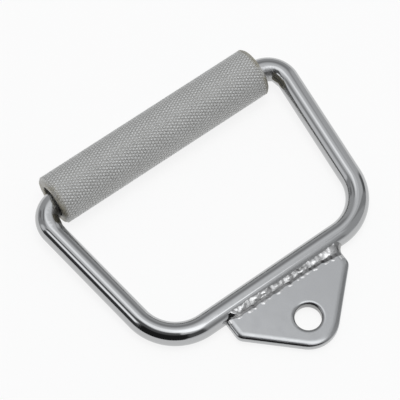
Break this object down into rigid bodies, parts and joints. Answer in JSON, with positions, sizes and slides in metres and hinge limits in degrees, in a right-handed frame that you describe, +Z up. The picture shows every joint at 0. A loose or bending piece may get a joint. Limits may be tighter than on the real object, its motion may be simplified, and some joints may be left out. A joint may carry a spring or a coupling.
{
  "type": "grab handle",
  "caption": "Closed stirrup handle of bent round bar with a loose knurled grip sleeve and a welded lug plate whose eye takes a snap hook.",
  "frame": {"origin": "middle of the eye in the lug plate, halfway through its thickness", "axes": "the handle lies at rest: +X along the grip, +Y from the eye to the grip, +Z up from the floor"},
  "size_m": [0.1662, 0.1602, 0.028],
  "materials": {
    "bar_chrome": "polished chrome plating on bent steel bar",
    "lug_chrome": "chrome plating on rolled plate, a little softer than the bar",
    "weld_chrome": "chrome plating over a rippled weld bead",
    "knurled_steel": "satin plating over a diamond knurl"
  },
  "bodies": {
    "frame": {"frame_bar": "bar_chrome", "lug_plate": "lug_chrome", "weld_front": "weld_chrome", "weld_back": "weld_chrome"},
    "grip": {"grip_sleeve": "knurled_steel"}
  },
  "joints": [
    {"name": "grip_spin", "type": "hinge", "parent": "frame", "child": "grip", "pos_m": [-0.0031, 0.13, 0.0093], "axis": [1, 0, 0], "continuous": true}
  ]
}
